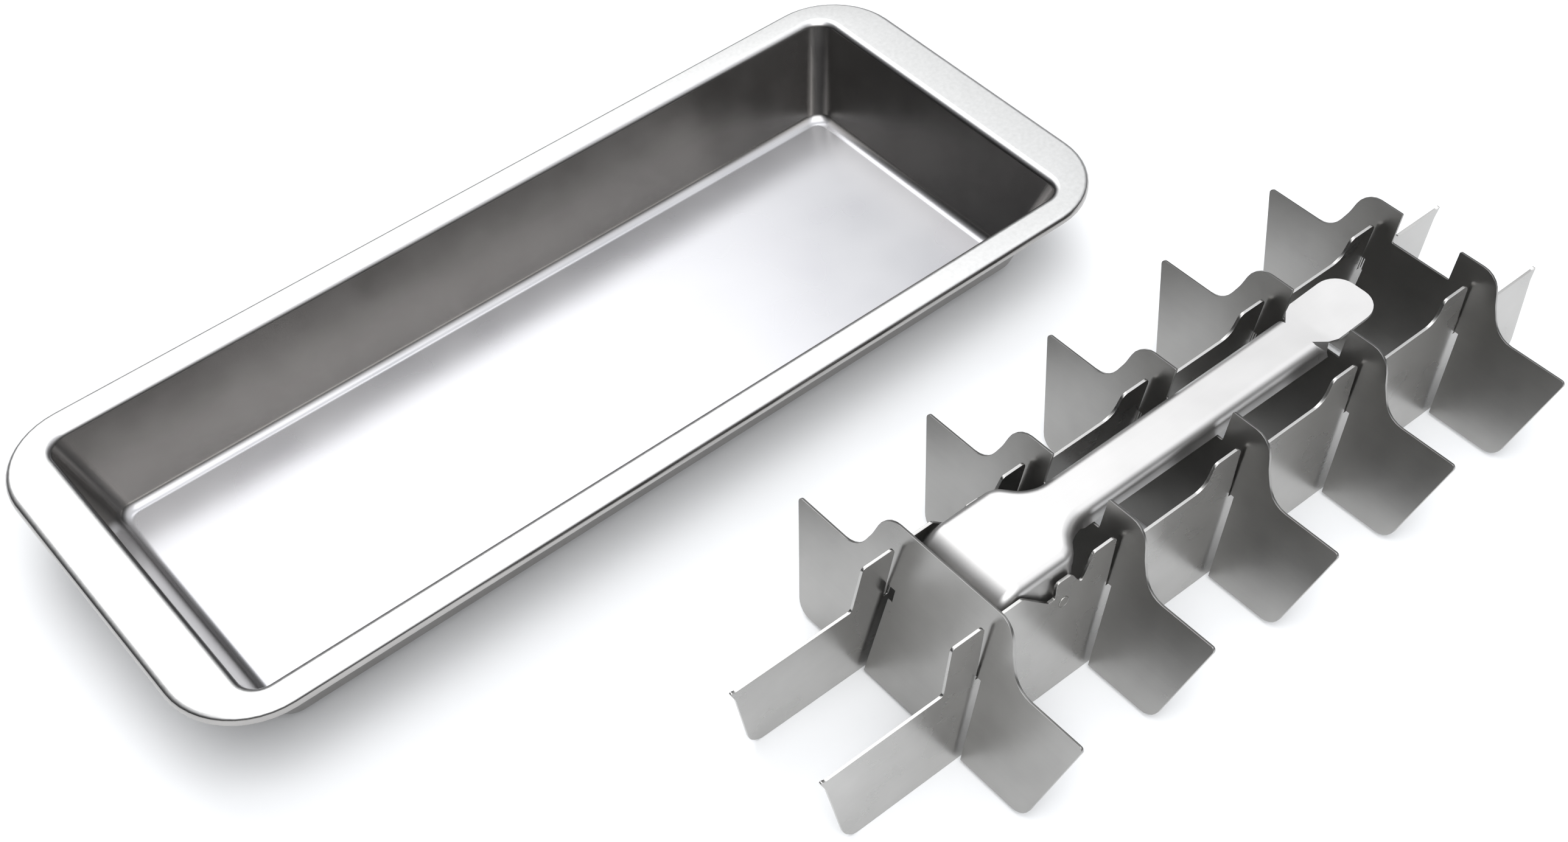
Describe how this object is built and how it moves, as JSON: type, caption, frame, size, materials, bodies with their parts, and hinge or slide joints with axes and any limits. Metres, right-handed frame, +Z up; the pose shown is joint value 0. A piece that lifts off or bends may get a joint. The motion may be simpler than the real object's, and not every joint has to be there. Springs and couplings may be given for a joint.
{
  "type": "lever ice cube tray",
  "caption": "Shallow stainless steel pan with a flat rim, and a lift-out divider of interlocking sheets whose lever rocks the cross plates to free the ice.",
  "frame": {"origin": "middle of the pan's underside, on the surface that pan and divider stand on", "axes": "+Z up, +X along the pan towards the end that the lever's tip points to, +Y from the divider to the pan"},
  "size_m": [0.3309, 0.2383, 0.0423],
  "materials": {
    "pan_steel": "satin, drawn stainless sheet",
    "sheet_steel": "cold-rolled stainless sheet, bright blanked edges",
    "plate_steel": "cold-rolled stainless sheet, bright blanked edges",
    "lever_steel": "lightly polished stainless sheet",
    "rivet_steel": "plain stainless wire"
  },
  "bodies": {
    "pan": {"pan": "pan_steel"},
    "divider": {"left_wall": "sheet_steel", "right_wall": "sheet_steel", "left_rivet": "rivet_steel", "right_rivet": "rivet_steel"},
    "lever": {"lever": "lever_steel"},
    "plate_1": {"cross_plate_1": "plate_steel"},
    "plate_2": {"cross_plate_2": "plate_steel"},
    "plate_3": {"cross_plate_3": "plate_steel"},
    "plate_4": {"cross_plate_4": "plate_steel"},
    "plate_5": {"cross_plate_5": "plate_steel"}
  },
  "joints": [
    {"name": "divider_lift", "type": "slide", "parent": "pan", "child": "divider", "axis": [0, 0, 1], "range_m": [0, 0.06]},
    {"name": "lever_hinge", "type": "hinge", "parent": "divider", "child": "lever", "pos_m": [0.028, -0.1335, 0.028], "axis": [0, -1, 0], "range_deg": [0, 80]},
    {"name": "plate_1_rock", "type": "hinge", "parent": "divider", "child": "plate_1", "pos_m": [0.00207, -0.1335, 0.02342], "axis": [0, -1, 0], "range_deg": [0, 4]},
    {"name": "plate_2_rock", "type": "hinge", "parent": "divider", "child": "plate_2", "pos_m": [0.04207, -0.1335, 0.02342], "axis": [0, -1, 0], "range_deg": [0, 2.5]},
    {"name": "plate_3_rock", "type": "hinge", "parent": "divider", "child": "plate_3", "pos_m": [0.08207, -0.1335, 0.02342], "axis": [0, -1, 0], "range_deg": [0, 2.5]},
    {"name": "plate_4_rock", "type": "hinge", "parent": "divider", "child": "plate_4", "pos_m": [0.12207, -0.1335, 0.02342], "axis": [0, -1, 0], "range_deg": [0, 2.5]},
    {"name": "plate_5_rock", "type": "hinge", "parent": "divider", "child": "plate_5", "pos_m": [0.16207, -0.1335, 0.02342], "axis": [0, -1, 0], "range_deg": [0, 2.5]}
  ],
  "couplings": [
    {"joint": "plate_1_rock", "follows": "lever_hinge", "ratio": 0.05},
    {"joint": "plate_2_rock", "follows": "lever_hinge", "ratio": 0.03125},
    {"joint": "plate_3_rock", "follows": "lever_hinge", "ratio": 0.03125},
    {"joint": "plate_4_rock", "follows": "lever_hinge", "ratio": 0.03125},
    {"joint": "plate_5_rock", "follows": "lever_hinge", "ratio": 0.03125}
  ]
}
